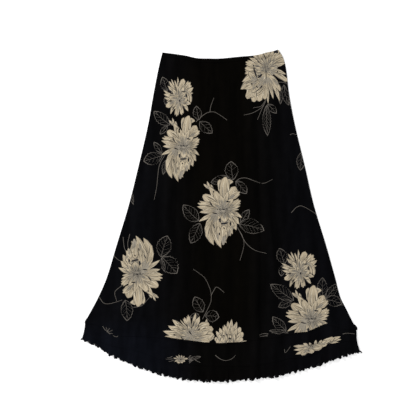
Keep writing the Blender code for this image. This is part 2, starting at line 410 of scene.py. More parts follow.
SMALL_DARKS = (
    (24, 14, 26, -2, 4.5), (11, 16, 14, 9, 4.5), (8, 20, 22, 21, 3), (1, -2, 3, -10, 4),
    (-24, 16, -19, 13, 2.5), (16, -14, 24, -15, 3), (-36, 25, -22, 17, 4), (-15, 44, -12, 27, 3.5),
    (-2, 47, -1, 33, 3), (-37, -7, -24, -6, 3.5), (-23, -32, -15, -20, 3.5), (1, -45, 0, -30, 3),
    (23, 50, 19, 36, 3),
)
TURNED_PETALS = (
    (0, 14, 2, -44, 34, 0, "round"), (2, 6, -46, 31, 16, 12), (0, 8, -38, 46, 15, 8, "round"),
    (-2, 8, -23, 52, 15, 4, "teeth"), (2, 8, -8, 57, 13, 2), (5, 8, 9, 60, 13, -2, "round"),
    (8, 8, 22, 56, 14, -8), (12, 8, 42, 58, 15, -8), (12, 6, 52, 44, 17, -8, "teeth"),
    (12, 4, 58, 30, 17, -10, "round"), (10, 2, 56, 17, 12, -12), (8, -2, 65, -37, 15, -14, "teeth"),
    (8, 0, 57, -15, 12, -16), (10, -22, 39, -90, 12, -18), (8, -24, 31, -68, 10, -10),
    (6, -24, 21, -84, 11, -6), (14, -20, 41, -62, 13, -16, "round"), (35, -46, 9, -19, 15, 30, "round"),
    (4, -22, 7, -98, 9.5, 2), (-10, -30, -3, -85, 22, -20, "round"),
    (-14, -30, -18, -91, 26, 6, "round"), (-18, -30, -34, -92, 26, 10, "round"),
    (-22, -30, -52, -84, 24, 16, "round"), (-22, -28, -70, -57, 24, 20), (-10, -6, -66, -36, 18, 12),
    (-8, -4, -58, -13, 20, 10, "teeth"), (-6, 0, -58, 2, 18, -4, "round"),
    (-6, 2, -56, 20, 18, -8, "teeth"), (2, -26, -54, -78, 20, -66), (0, -24, -46, -74, 17, -60),
    (-4, -20, -62, -56, 18, -44), (-34, -44, -26, -82, 12, 30), (-10, -34, -40, -66, 13, -40),
    (-24, -36, -56, -44, 12, -14), (-12, -36, -28, -58, 11, -30, "round"),
    (-30, -34, -46, -8, 12, -20, "round"), (-14, -36, -22, -22, 9, 8, "round"),
)
TURNED_LIP = (
    (0, 2, -25, 19, 8, -16), (-1, 0, -31, 4, 9, -6), (-2, -3, -26, -9, 8, 8), (0, 4, -13, 27, 8, -8),
    (2, 6, 4, 33, 8, 0), (4, 4, 20, 23, 8, 10), (4, 0, 27, 4, 8, 6), (2, -4, 15, -17, 8, -6),
)
TURNED_DARKS = (
    (-34, 4, -24, -25, 4.5), (-22, -25, -9, -14, 6), (1, 9, 2, -30, 2.2), (-36, 10, -32, 8, 3),
    (-40, -39, -38, -45, 3), (-27, -48, -21, -52, 3.5), (-14, -53, -10, -46, 3.5), (34, -5, 32, -11, 3),
    (24, 52, 35, 45, 9), (-14, 8, -24, 24, 2.4), (2, 24, -8, 44, 2.4),
)
FAN_PETALS = (
    (-6, -8, -68, -21, 18, -8), (-6, -8, -46, -26, 18, -8, "round"), (-4, -8, -20, -34, 18, -6, "round"),
    (0, -8, 10, -36, 18, 4, "round"), (4, -10, 36, -33, 18, 8, "round"), (-2, 2, -50, 38, 18, -16),
    (-4, 0, -62, 21, 20, -18), (-4, -2, -76, 6, 20, -18), (-4, -8, -75, -10, 18, -18),
    (-8, -8, -60, 2, 12, -24), (-6, -2, -50, 14, 11, -22), (-2, 3, -38, 25, 11, -18),
    (0, 6, -28, 38, 5, -14), (0, 6, -17, 44, 12, -12, "teeth"), (1, 8, -6, 51, 12, -6, "teeth"),
    (5, 6, 15, 56, 12, 0), (10, 6, 26, 47, 14, -6), (43, 2, 46, 40, 11, -10),
    (8, 0, 34, 20, 14, -12, "round"), (8, -4, 52, 27, 26, -22, "round"),
    (8, -8, 62, 15, 34, 14, "round"), (8, -14, 65, -3, 32, 26, "round"),
    (8, -16, 54, -20, 22, 28, "round"), (12, -6, 54, 8, 12, 26), (16, -14, 58, -4, 12, 30),
    (56, -18, 68, -6, 3.5, 8),
)
FAN_LIP = (
    (-2, 0, -22, 9, 8, -8), (-2, -4, -27, -6, 8, 8), (0, 4, -6, 22, 7, -4), (4, 4, 12, 22, 7, 0),
    (6, 0, 27, 6, 9, -8), (6, -6, 26, -13, 9, 8),
)
FAN_DARKS = (
    (1, 8, -22, 33, 2.6), (17, 4, 28, 13, 3.2), (-4, 6, 4, -4, 4), (-26, -9, -21, -17, 3),
    (4, 10, 10, 34, 2.4), (20, 12, 24, 26, 2.4), (34, 12, 44, 16, 2.4),
)
BUD_PETALS = (
    (4, -20, 9, 40, 16, 0), (10, -20, 24, 33, 17, -6), (0, -20, -2, 35, 15, 4),
    (-6, -22, -12, 24, 15, 6, "teeth"), (-12, -22, -26, 16, 14, 8), (-18, -24, -36, 7, 14, 10),
    (-24, -34, -38, -10, 14, 6, "round"), (16, -20, 34, 17, 17, -12, "round"),
    (18, -22, 42, 2, 18, -16, "round"), (20, -26, 41, -14, 17, -14, "round"), (28, -25, 52, -20, 4, 0),
    (6, -24, 11, 22, 13, -2), (14, -24, 24, 16, 13, -8), (-2, -24, 0, 18, 12, 4),
    (-10, -26, -15, 9, 12, 6), (22, -26, 33, 3, 13, -8), (-18, -28, -28, -2, 13, 8),
    (2, -34, 4, 4, 13, 0), (12, -34, 17, 0, 13, -4), (-8, -34, -8, -3, 13, 4), (22, -36, 29, -9, 13, -4),
    (-18, -38, -19, -9, 13, 4), (-28, -40, -33, -12, 12, 4), (-2, -40, -1, -16, 12, 0),
    (8, -40, 11, -17, 12, 0),
)
BUD_DARKS = (
    (-16, -4, -12, -7, 3.6), (-8, -2, -2, -4, 3), (2, -3, 7, -4, 3), (0, -12, 8, -15, 4.6),
)
STRIP_PETALS = (
    (-14, -4, -66, -1, 13, -6), (-14, -8, -65, -13, 11, 0), (-14, -10, -60, -27, 12, 10),
    (-20, -10, -43, -29, 14, 12, "round"), (24, 12, 63, 10, 9, -6), (26, 14, 68, 20, 10, -6),
    (26, 14, 66, 29, 12, 8), (2, 2, 48, 26, 18, 6, "round"), (-8, -8, 31, 13, 20, -8, "round"),
    (-30, -8, 16, -4, 22, -10, "round"), (-34, -14, -8, -18, 15, 0, "round"), (-24, 0, -38, 7, 9, 10),
    (-14, -2, -22, 10, 8, 0), (-4, 0, -3, 18, 9, -6), (4, 2, 14, 18, 8, -10),
)
STRIP_LIP = (
    (-18, -2, -40, -12, 9, 8), (-16, -3, -20, -17, 8, 0), (-12, 0, 10, 3, 9, 4), (14, 4, 38, 18, 9, 4),
)
STRIP_DARKS = (
    (-22, -6, -14, 5, 2.8), (-17, 4, -16, -8, 2.6), (-10, 4, -13, -4, 2.6), (14, 8, 22, 3, 2.4),
    (36, 18, 41, 12, 2.4),
)
BURST_PETALS = (
    (0, -2, -13, 11, 5, 6), (0, -1, -6, 15, 5, 0), (2, -1, 2, 13, 4, 0), (3, -1, 9, 10, 5, 0),
    (3, -1, 19, 2, 6, -8), (-2, -1, -20, 4, 5, 6), (-2, -2, -17, -7, 7, -6), (3, -3, 11, -8, 6, 0),
    (-1, -2, -8, -13, 9, 0, "round"), (1, -2, 3, -13, 9, 0, "round"),
)
BURST_DARKS = (
    (-3, 2, 1, -4, 2), (4, 2, 7, -1, 2),
)
# The full middles under the petals: the place of each and its half sizes.
MIDDLES = {
    "large": ((0, 6, 31, 30), (-7, -50, 27, 34)),
    "small": ((-1, 1, 25, 27),),
    "turned": ((0, 12, 34, 36), (-28, -48, 28, 30)),
    "fan": ((0, -6, 40, 20), (36, -8, 24, 22)),
    "bud": ((3, -16, 28, 26),),
}
# Petals, lip, darks, and the number and the reach of the heart's rays.
MOTIFS = {
    "large": (LARGE_PETALS, LARGE_LIP, LARGE_DARKS, 26, 20),
    "small": (SMALL_PETALS, SMALL_LIP, SMALL_DARKS, 16, 13),
    "turned": (TURNED_PETALS, TURNED_LIP, TURNED_DARKS, 16, 16),
    "fan": (FAN_PETALS, FAN_LIP, FAN_DARKS, 9, 10),
    "bud": (BUD_PETALS, (), BUD_DARKS, 4, 5),
    "strip": (STRIP_PETALS, STRIP_LIP, STRIP_DARKS, 5, 6),
    "burst": (BURST_PETALS, (), BURST_DARKS, 4, 5),
}

# Motif, the place of its heart, how far it is turned in degrees, and its size across and along. A negative
# size mirrors it. The cloth's folds take some of a flower's width in.
FLOWERS = {
    "body_front": (
        ("small", -117, 327, 0, 0.84, 1.0),
        ("large", -105, 192, -6, 0.87, 0.94),
        ("turned", 125, 410, 0, 1.0, 1.0),
        ("large", 6, 14, 0, 1.0, 1.0),
        ("large", -234, -161, 185, 0.97, 1.0),
        ("fan", -86, -329, 0, 1.0, 1.0),
        ("bud", 21, -330, 0, 0.97, 1.0),
        ("small", 221, -156, 0, 1.0, 1.0),
        ("large", 253, -292, 0, 1.0, 1.03),
    ),
    "upper_flounce_front": (
        ("burst", -112, -401, 0, 1.05, 0.85),
        ("strip", 268, -364, 0, 1.0, 0.9),
    ),
    "body_back": (
        ("small", 108, 330, 180, 1.0, 1.0),
        ("large", 104, 182, 10, -0.95, 1.0),
        ("large", -112, 380, 130, 1.0, 1.0),
        ("large", -8, 20, 180, -1.0, 1.0),
        ("large", 214, -150, 0, -1.0, 1.0),
        ("large", 84, -330, 80, -1.0, 1.0),
        ("small", -24, -330, 80, 1.0, 1.0),
        ("small", -216, -130, 200, 1.0, 1.0),
        ("large", -240, -262, 184, -1.0, 1.0),
    ),
}

# Foot, tip and width.
LEAVES = {
    "body_front": (
        (-151, 348, -164, 388, 25), (-150, 336, -155, 309, 14), (-142, 253, -188, 292, 30),
        (-149, 251, -171, 227, 15), (-61, 267, -69, 307, 25), (-60, 263, -24, 230, 30),
        (-165, 173, -188, 206, 17), (-164, 168, -217, 152, 36), (-152, 157, -162, 114, 15),
        (130, 311, 155, 285, 19), (128, 309, 130, 223, 24), (162, 368, 166, 311, 15),
        (176, 366, 190, 308, 19), (22, 108, -29, 92, 26), (34, 99, 28, 152, 38), (42, 97, 72, 61, 27),
        (-62, -15, -106, 30, 38), (-59, -21, -85, -78, 36), (56, -21, 79, 17, 22),
        (50, -24, 121, -42, 42), (-168, -116, -150, -56, 42), (-165, -116, -123, -162, 46),
        (-167, -118, -158, -157, 11), (-268, -236, -263, -295, 34), (-50, -270, -74, -227, 34),
        (-44, -281, -5, -284, 34), (-62, -276, -87, -284, 15), (178, -136, 163, -91, 30),
        (174, -138, 168, -170, 18), (204, -238, 138, -192, 36), (197, -238, 160, -256, 22),
        (285, -230, 284, -173, 30), (292, -232, 329, -190, 24), (292, -234, 338, -248, 32),
        (182, -322, 144, -282, 28), (190, -330, 134, -322, 13), (226, 178, 222, 126, 26),
        (-255, 80, -245, 30, 11),
    ),
    "upper_flounce_front": (
        (-88, -404, -56, -394, 9),
    ),
    "body_back": (
        (136, 350, 160, 386, 24), (138, 300, 182, 264, 27), (60, 250, 26, 218, 28),
        (166, 190, 206, 160, 30), (-46, 110, -66, 156, 36), (52, -4, 98, 40, 38), (48, -16, 84, -70, 36),
        (146, -110, 128, -52, 42), (250, -232, 272, -296, 34), (-180, -180, -122, -228, 42),
        (-186, -120, -152, -84, 30), (-270, -222, -300, -172, 34), (-176, -290, -132, -318, 36),
        (-140, 296, -126, 236, 27),
    ),
}

# Points that each stem or tendril passes through.
STEMS = {
    "body_front": (
        ((-70, 262), (-45, 284), (-22, 290), (-3, 281), (17, 267)), ((-31, 290), (-28, 307), (-20, 329)),
        ((-157, 170), (-172, 142), (-177, 110), (-180, 80), (-187, 44)),
        ((125, 322), (118, 307), (105, 296), (86, 286), (64, 281)), ((124, 322), (112, 306), (90, 301)),
        ((124, 318), (114, 297), (102, 268)), ((160, 373), (176, 372), (191, 364)),
        ((181, 328), (190, 319), (197, 304)), ((193, 226), (201, 229), (211, 226)),
        ((40, 94), (52, 103), (70, 105), (92, 97), (118, 90), (144, 101)),
        ((46, -34), (60, -58), (64, -84), (53, -126)), ((52, -44), (70, -77), (95, -97), (127, -106)),
        ((-255, -52), (-261, -83), (-250, -116)), ((-274, -60), (-270, -91), (-256, -120)),
        ((-307, -103), (-290, -122), (-262, -136)), ((-276, -195), (-297, -214), (-291, -240)),
        ((-341, -228), (-328, -245), (-308, -246), (-276, -236)), ((-245, -257), (-222, -252), (-200, -229)),
        ((-52, -290), (-36, -259), (-28, -239), (-28, -217), (-34, -197), (-48, -172), (-78, -150)),
        ((-28, -225), (-20, -209), (-11, -200), (9, -215)),
        ((197, 8), (210, 22), (224, 27), (244, 18), (268, 3)), ((290, -240), (311, -250), (343, -250)),
        ((-331, -309), (-324, -319), (-315, -326), (-306, -337)), ((-317, -324), (-321, -312)),
        ((-318, -325), (-311, -314)), ((-317, -326), (-326, -329)), ((-316, -326), (-303, -320)),
        ((-314, -328), (-319, -337)), ((-312, -329), (-302, -330)), ((132, -331), (119, -330), (107, -334)),
        ((131, -334), (120, -337), (109, -338)), ((130, -337), (121, -341), (113, -344)),
        ((150, -318), (142, -328)), ((162, -318), (154, -330)), ((174, -320), (166, -332)),
    ),
    "upper_flounce_front": (
        ((-136, -393), (-142, -396), (-151, -398)), ((-134, -400), (-143, -401), (-154, -401)),
        ((-132, -403), (-138, -406), (-146, -408)), ((-93, -399), (-88, -394), (-83, -390)),
        ((-92, -403), (-81, -396), (-69, -393)), ((-90, -407), (-74, -402), (-58, -396)),
        ((-89, -412), (-80, -405), (-72, -401)), ((-73, -403), (-66, -407), (-58, -411)),
        ((-86, -390), (-88, -400), (-87, -412)),
        ((-16, -390), (-4, -399), (12, -405), (29, -401), (40, -391)),
        ((177, -374), (180, -383), (194, -366)), ((340, -331), (354, -329), (374, -331)),
        ((-304, -331), (-297, -338), (-289, -338), (-284, -331), (-262, -331)),
    ),
    "body_back": (
        ((70, 262), (45, 284), (20, 288), (-10, 268)), ((158, 170), (170, 138), (182, 100), (186, 40)),
        ((-60, 92), (-84, 102), (-110, 90), (-140, 98)), ((-46, -34), (-62, -60), (-64, -90), (-50, -128)),
        ((40, -280), (30, -240), (34, -200), (74, -152)), ((-196, 6), (-216, 22), (-240, 18), (-262, 2)),
        ((330, -226), (310, -244), (270, -238)),
    ),
}

for table in (FLOWERS, LEAVES, STEMS):
    for side in ("front", "back"):
        table["waist_casing_" + side] = table["body_" + side]  # the print runs on over the casing

# The front's plain black foot, under the line where its print ends.
PRINT_FOOT = (
    (-165, -336), (-137, -342), (-92, -348), (-47, -354), (-2, -356), (60, -353), (160, -331),
    (240, -324.5), (284, -305.5), (297, -301), (312, -298), (312, -420), (-170, -420),
)

# The right side of each form of petal from foot to tip, as shares of its length and of half its width.
SIDE = ((0.0, 0.16), (0.14, 0.44), (0.32, 0.80), (0.52, 1.0))
TIPS = {
    "point": ((0.70, 0.86), (0.86, 0.46), (1.0, 0.0)),
    "round": ((0.74, 0.98), (0.90, 0.70), (0.975, 0.30), (1.0, 0.0)),
    "teeth": ((0.76, 1.0), (0.93, 0.86), (0.86, 0.42), (1.0, 0.10), (0.97, 0.0)),
}
LEAST_TURN = 0.1  # degrees, so that every petal is an arc
PETAL_SPREAD = 0.9  # of the widths in the tables, so that black shows between the tips
UNEVEN_FROM = 0.45  # the share along a petal from which its outline is uneven
UNEVEN = ((-0.03, 0.03), (-0.2, 0.1))  # along it, and aside
EDGE_WIDTH = (0.55, 1.45)  # on a petal's lit side and on its shaded side
EDGE_GROWTH = (1.6, 0.3)  # of the edge's width from the foot on, and the least share of it
EDGE_TIP = 0.6  # the share along a petal from which the edge goes round its tip
SHADE_SHARES = (0.5, 0.75)  # of a petal's length in shade at the foot
SHADE_REACH = 25  # mm at most
SHADE_FORM = (0.7, 0.4)  # its share of the petal's width, and how far that narrows
# A petal's bands of light: shares along it, places aside, as shares of its width, and width in the middle.
LIGHT_BANDS = (((0.3, 0.62, 0.94), (0.33, 0.40, 0.14)), ((0.4, 0.7, 0.97), (-0.1, -0.16, 0)))
LIGHT_WIDTH, LIGHT_TIP = 0.1, 0.1  # as a share of the petal's width, and in mm at the ends
VEIN_WIDTH, VEIN_TIP = 0.9, 0.1
VEIN_PITCH = 2.7
VEIN_STRAY = 0.08  # from an even pitch, as a share of the petal's width
VEIN_STARTS, VEIN_ENDS = (0.05, 0.36), (0.56, 0.96)
VEIN_FORM = (0.35, 0.5, 1.35)  # the share of its width at its start, and the least and most of it
DARK_FORM = ((0, 0.2, 0.5, 0.8, 1), (0.3, 0.9, 1, 0.8, 0.2))  # shares along, shares of the width
DARK_TURN = 12  # degrees
RAY_FORM = ((0, 0.4, 1), (0.5, 1.1, 0.15))  # shares along, widths
RAY_STRAY, RAY_TURN = 0.35, 20  # in pitches, and in degrees
RAY_STARTS, RAY_ENDS = (2.5, 6), (0.5, 1.15)  # from the heart's middle in mm, and in reaches
MIDDLE_SIDES = 28
LINE_WIDTH = 0.9  # of stems and leaf outlines
STEM_HALVES = (0.72, 0.45)  # in line widths, at its two ends
LEAF_TURN = 22  # degrees
LEAF_FULLEST = (0.42, 0.54)  # the share along a leaf at which it is widest
LEAF_FULLNESS = 0.74  # a power: less is fuller
TOOTH_PITCH = 8
TOOTH_ENDS = (0.45, 0.92, 1.0)  # shares of a tooth: where it starts, juts out and ends
TOOTH_DEPTHS = (0.97, 1.0, 0.9)  # the same in the leaf's half widths
TOOTH_REACH = (-0.05, 0.13)  # added to the jut
LAST_TOOTH = 0.97  # the share of the leaf where the teeth end
MIDRIB = ((0.0, 0.4, 0.92), (1.2, 0.8, 0.3))  # shares along, line widths
LEAF_PEN = (0.75, 0.45, 7)  # its outline in line widths: the mean, the swing, and how often that is
LEAF_ENDS = (1.6, 2.2)  # the same at its foot and tip
RIB = ((0.0, 0.09, 0.2), (0, 0.55, 1), (0.75, 0.6, 0.2))  # shares along and of its reach, line widths
RIB_PITCHES = ((20, 11), (0, 16))  # in a leaf wider than this, in mm
RIB_START, RIB_STAGGER, RIB_STRAY = 0.35, 0.2, 0.15  # in pitches
RIB_REACH = (0.7, 0.95)  # of the way to the leaf's edge


def laid_along(foot, tip, turn):
    """A function that lays (share along, mm to the left) on the arc from foot to tip, and the arc's length.
    The arc turns to its left by the degrees given."""
    chord = math.hypot(tip[0] - foot[0], tip[1] - foot[1])
    half = math.radians(turn if abs(turn) > LEAST_TURN else LEAST_TURN) / 2
    start = math.atan2(tip[1] - foot[1], tip[0] - foot[0]) - half
    radius = chord / 2 / math.sin(half)

    def lay(share, left):
        turned = start + 2 * half * np.asarray(share, float)
        x = foot[0] + radius * (np.sin(turned) - math.sin(start)) - left * np.sin(turned)
        y = foot[1] - radius * (np.cos(turned) - math.cos(start)) + left * np.cos(turned)
        return np.stack([x, y], 1)

    return lay, abs(2 * half * radius)


def band(lay, shares, lefts, widths):
    """A line of varying width on an arc."""
    shares, lefts, widths = (np.asarray(row, float) for row in (shares, lefts, widths))
    there, back = lay(shares, lefts + widths / 2), lay(shares, lefts - widths / 2)[::-1]
    return np.concatenate([there, back])


def draw_petal(foot, tip, width, turn, form, draw):
    """A petal's polygons: a dark edge, the cream petal, its greyer foot, two bands of light and its veins."""
    lay, length = laid_along(foot, tip, turn)

    def rough(along, aside):
        free = UNEVEN_FROM < along < 1
        return along + free * draw.uniform(*UNEVEN[0]), aside * (1 + free * draw.uniform(*UNEVEN[1]))

    right = [rough(*row) for row in SIDE + TIPS[form]]
    left = [rough(*row) for row in SIDE + TIPS[form][:-1]]
    shares, halves = np.array(right + left[::-1]).T
    sides = halves * np.where(np.arange(len(shares)) < len(right), -1, 1) * width / 2
    shaded = draw.choice((-1, 1))
    growth, least = EDGE_GROWTH
    edge = np.where(np.sign(sides) == shaded, EDGE_WIDTH[1], EDGE_WIDTH[0])
    edge = edge * np.clip(growth * shares, least, 1)
    over = np.where(shares > EDGE_TIP, EDGE_WIDTH[0] / length, 0)
    yield "edge", lay(shares + over, sides + np.sign(sides) * edge)
    yield "petal", lay(shares, sides)
    foot_end = min(draw.uniform(*SHADE_SHARES), SHADE_REACH / length)
    yield "shade", lay(shares * foot_end, sides * SHADE_FORM[0] * (1 - shares * SHADE_FORM[1]))
    for along, asides in LIGHT_BANDS:
        lit = [LIGHT_TIP, LIGHT_WIDTH * width, LIGHT_TIP]
        yield "light", band(lay, along, np.array(asides) * (-shaded * width), lit)
    count = max(2, round(width / VEIN_PITCH))
    thin, thinnest, thickest = VEIN_FORM
    for k in range(count):
        aside = ((k + 0.5) / count - 0.5 + draw.uniform(-VEIN_STRAY, VEIN_STRAY)) * width
        start, end = draw.uniform(*VEIN_STARTS), draw.uniform(*VEIN_ENDS)
        spread = aside * np.array([0.3 + start, 0.86, 0.84 - 0.3 * end])  # veins fan out and meet again
        thick = VEIN_WIDTH * draw.uniform(thinnest, thickest)
        yield "vein", band(lay, (start, (start + end) / 2, end), spread, [thin * thick, thick, VEIN_TIP])


def draw_flower(motif, x, y, turn, across, along):
    """A double flower: its petals, the darks between them, the lip over them and the rays of its heart."""
    petals, lip, darks, rays, reach = MOTIFS[motif]
    draw = random.Random(rays)
    ring = np.stack(circle(MIDDLE_SIDES), 1)
    middles = MIDDLES.get(motif, ())
    drawn = [("shade", ring * [wide, high] + [mid_x, mid_y]) for mid_x, mid_y, wide, high in middles]
    for rows in (petals, lip):
        for foot_x, foot_y, tip_x, tip_y, width, bend, *form in rows:
            tip_form = form[0] if form else "point"
            width *= PETAL_SPREAD
            drawn += draw_petal((foot_x, foot_y), (tip_x, tip_y), width, bend, tip_form, draw)
        if rows is petals:
            for x1, y1, x2, y2, width in darks:
                lay, _ = laid_along((x1, y1), (x2, y2), DARK_TURN)
                at, widths = np.array(DARK_FORM)
                drawn.append(("deep", band(lay, at, 0 * at, width * widths)))
    for k in range(rays):
        angle = math.tau * (k + draw.uniform(-RAY_STRAY, RAY_STRAY)) / rays
        near, far = draw.uniform(*RAY_STARTS), reach * draw.uniform(*RAY_ENDS)
        ray = np.array([math.cos(angle), math.sin(angle)])
        lay, _ = laid_along(near * ray, far * ray, draw.uniform(-RAY_TURN, RAY_TURN))
        ink = "deep" if k % 2 == 0 else "vein"
        drawn.append((ink, band(lay, RAY_FORM[0], (0, 0, 0), RAY_FORM[1])))
    angle = math.radians(turn)
    turned = np.array([[math.cos(angle), math.sin(angle)], [-math.sin(angle), math.cos(angle)]])
    return [(ink, points * [across, along] @ turned + [x, y]) for ink, points in drawn]


def leaf_margin(length, width, fullest, draw):
    """Shares along and distances aside of one side of a leaf, with teeth that point to the tip."""
    rows = [(0.0, 0.0)]
    teeth = max(4, round(length / TOOTH_PITCH))
    for k in range(teeth):
        jut = TOOTH_DEPTHS[1] + draw.uniform(*TOOTH_REACH)
        for at, depth in zip(TOOTH_ENDS, (TOOTH_DEPTHS[0], jut, TOOTH_DEPTHS[2])):
            share = (k + at) / teeth
            if share >= LAST_TOOTH:
                continue
            if share < fullest:
                bow = math.sin(math.pi / 2 * share / fullest)
            else:
                bow = math.cos(math.pi / 2 * (share - fullest) / (1 - fullest))
            rows.append((share, depth * bow**LEAF_FULLNESS))
    shares, halves = np.array(rows).T
    return shares, halves * width / 2


def draw_leaf(x, y, tip_x, tip_y, width):
    """A line-drawn leaf: a toothed outline of uneven weight, a midrib and ribs."""
    draw = random.Random(round(x * 7 + y))
    lay, length = laid_along((x, y), (tip_x, tip_y), draw.uniform(-LEAF_TURN, LEAF_TURN))
    fullest = draw.uniform(*LEAF_FULLEST)
    one, other = (leaf_margin(length, side * width, fullest, draw) for side in (-1, 1))
    shares = np.concatenate([one[0], [1.0], other[0][:0:-1]])
    sides = np.concatenate([one[1], [0.0], other[1][:0:-1]])
    mean, swing, often = LEAF_PEN
    weight = LINE_WIDTH * (mean + swing * np.sin(often * shares + 2 * np.sign(sides) + x))
    inside = np.sign(sides) * np.maximum(np.abs(sides) - weight, 0)
    yield "line", lay(shares, sides)
    foot_end, tip_end = (end * LINE_WIDTH / length for end in LEAF_ENDS)
    yield "cloth", lay(mix(foot_end, 1 - tip_end, shares), inside)
    along, widths = MIDRIB
    yield "line", band(lay, along, (0, 0, 0), LINE_WIDTH * np.array(widths))
    pitch = next(pitch for least, pitch in RIB_PITCHES if width > least)
    count = max(2, round(length / pitch))
    along, asides, widths = np.array(RIB)
    for k in range(count):
        for side in (-1, 1):
            begins = k + RIB_START + RIB_STAGGER * side + draw.uniform(-RIB_STRAY, RIB_STRAY)
            start = begins / (count + 0.9)
            reach = side * width / 2 * math.sin(math.pi * min(start + 0.2, 1)) ** 0.8
            reach *= draw.uniform(*RIB_REACH)
            yield "line", band(lay, start + along, asides * reach, LINE_WIDTH * widths)


def draw_stem(points):
    """A stem that thins out along a smooth curve."""
    rows = [(k, *point) for k, point in enumerate(points)]
    at = np.linspace(0, len(points) - 1, 4 * (len(points) - 1) + 1)
    line = np.stack([curve(rows, 1)(at), curve(rows, 2)(at)], 1)
    ahead = np.gradient(line, axis=0)
    left = np.stack([-ahead[:, 1], ahead[:, 0]], 1) / np.linalg.norm(ahead, axis=1)[:, None]
    half = LINE_WIDTH * np.linspace(*STEM_HALVES, len(line))[:, None]
    return [("line", np.concatenate([line + left * half, (line - left * half)[::-1]]))]


def print_of(name):
    """A piece's print: (ink, points in mm) from the bottom up."""
    drawn = []
    for stem in STEMS.get(name, ()):
        drawn += draw_stem(stem)
    for leaf in LEAVES.get(name, ()):
        drawn += draw_leaf(*leaf)
    for flower in FLOWERS.get(name, ()):
        drawn += draw_flower(*flower)
    if name == "body_front":
        drawn.append(("cloth", np.array(PRINT_FOOT, float)))
    return drawn


# ---- materials

INK_COLOURS = {
    "line": (0.124, 0.112, 0.098),
    "edge": (0.050, 0.048, 0.046),
    "petal": (0.420, 0.350, 0.243),
    "shade": (0.275, 0.244, 0.194),
    "light": (0.600, 0.525, 0.395),
    "vein": (0.070, 0.067, 0.063),
    "deep": (0.018, 0.018, 0.021),
}
WARM_BLACK = (0.0015, 0.0012, 0.0008)
# The painted sheen: a lighter, cooler black mixed in towards the sides and at the foot, most at the lower
# left.
SHEEN_BLACK = (0.0031, 0.0036, 0.0056)
SHEEN_FROM = (0.06, 0.22)  # m to either side over which the black cools
SHEEN_SIDE = 0.45  # how far it does, from 0 to 1
SHEEN_BELOW = (-0.28, -0.36)  # y over which its foot begins
SHEEN_FOOT = (2.2, 0.6, 0.12)  # there: times the left side's, times the right side's, and all over
# Painted fold shading: soft stripes of darker and lighter black down the skirt.
FOLD_SHADE_STREAKS = (30.0, 5.0, 1.0)  # of the black, per metre along x, y and z
PAINTED_FOLD_SHADES = (0.65, 1.4)
GRAIN, CLOUDS = 420.0, 55.0  # unevenness of every ink, per metre
CLOUD_SHADES = (0.86, 1.1)
NOISE_RANGE = (0.3, 0.7)  # that most of a noise's values lie in
THREADS_PER_M = 1900
THREAD_DISTORTION = 1.2
GRAIN_RELIEF = 0.8  # over that of the threads
BUMP, BUMP_DEPTH = 0.35, 0.2 * MM
CLOTH_ROUGHNESS, ROUGHNESS_SPREAD = 0.80, 0.06
CLOTH_SPECULAR = 0.012


class Nodes:
    """A material's node tree, with a short way to add to it."""

    def __init__(self, name):
        self.material = bpy.data.materials.new(name)
        self.material.use_nodes = True
        self.tree = self.material.node_tree
        self.shader = self.tree.nodes["Principled BSDF"]

    def add(self, kind, output, settings=(), **inputs):
        """A node with its settings and inputs, each a value or another node's output. An input is named, or
        numbered as _0. Gives an output."""
        node = self.tree.nodes.new("ShaderNode" + kind)
        for setting, value in dict(settings).items():
            setattr(node, setting, value)
        for socket, value in inputs.items():
            key = int(socket[1:]) if socket[1:].isdigit() else socket.replace("_", " ")
            self.feed(node.inputs[key], value)
        return node.outputs[output]

    def feed(self, socket, value):
        if isinstance(value, bpy.types.NodeSocket):
            self.tree.links.new(value, socket)
        else:
            socket.default_value = value


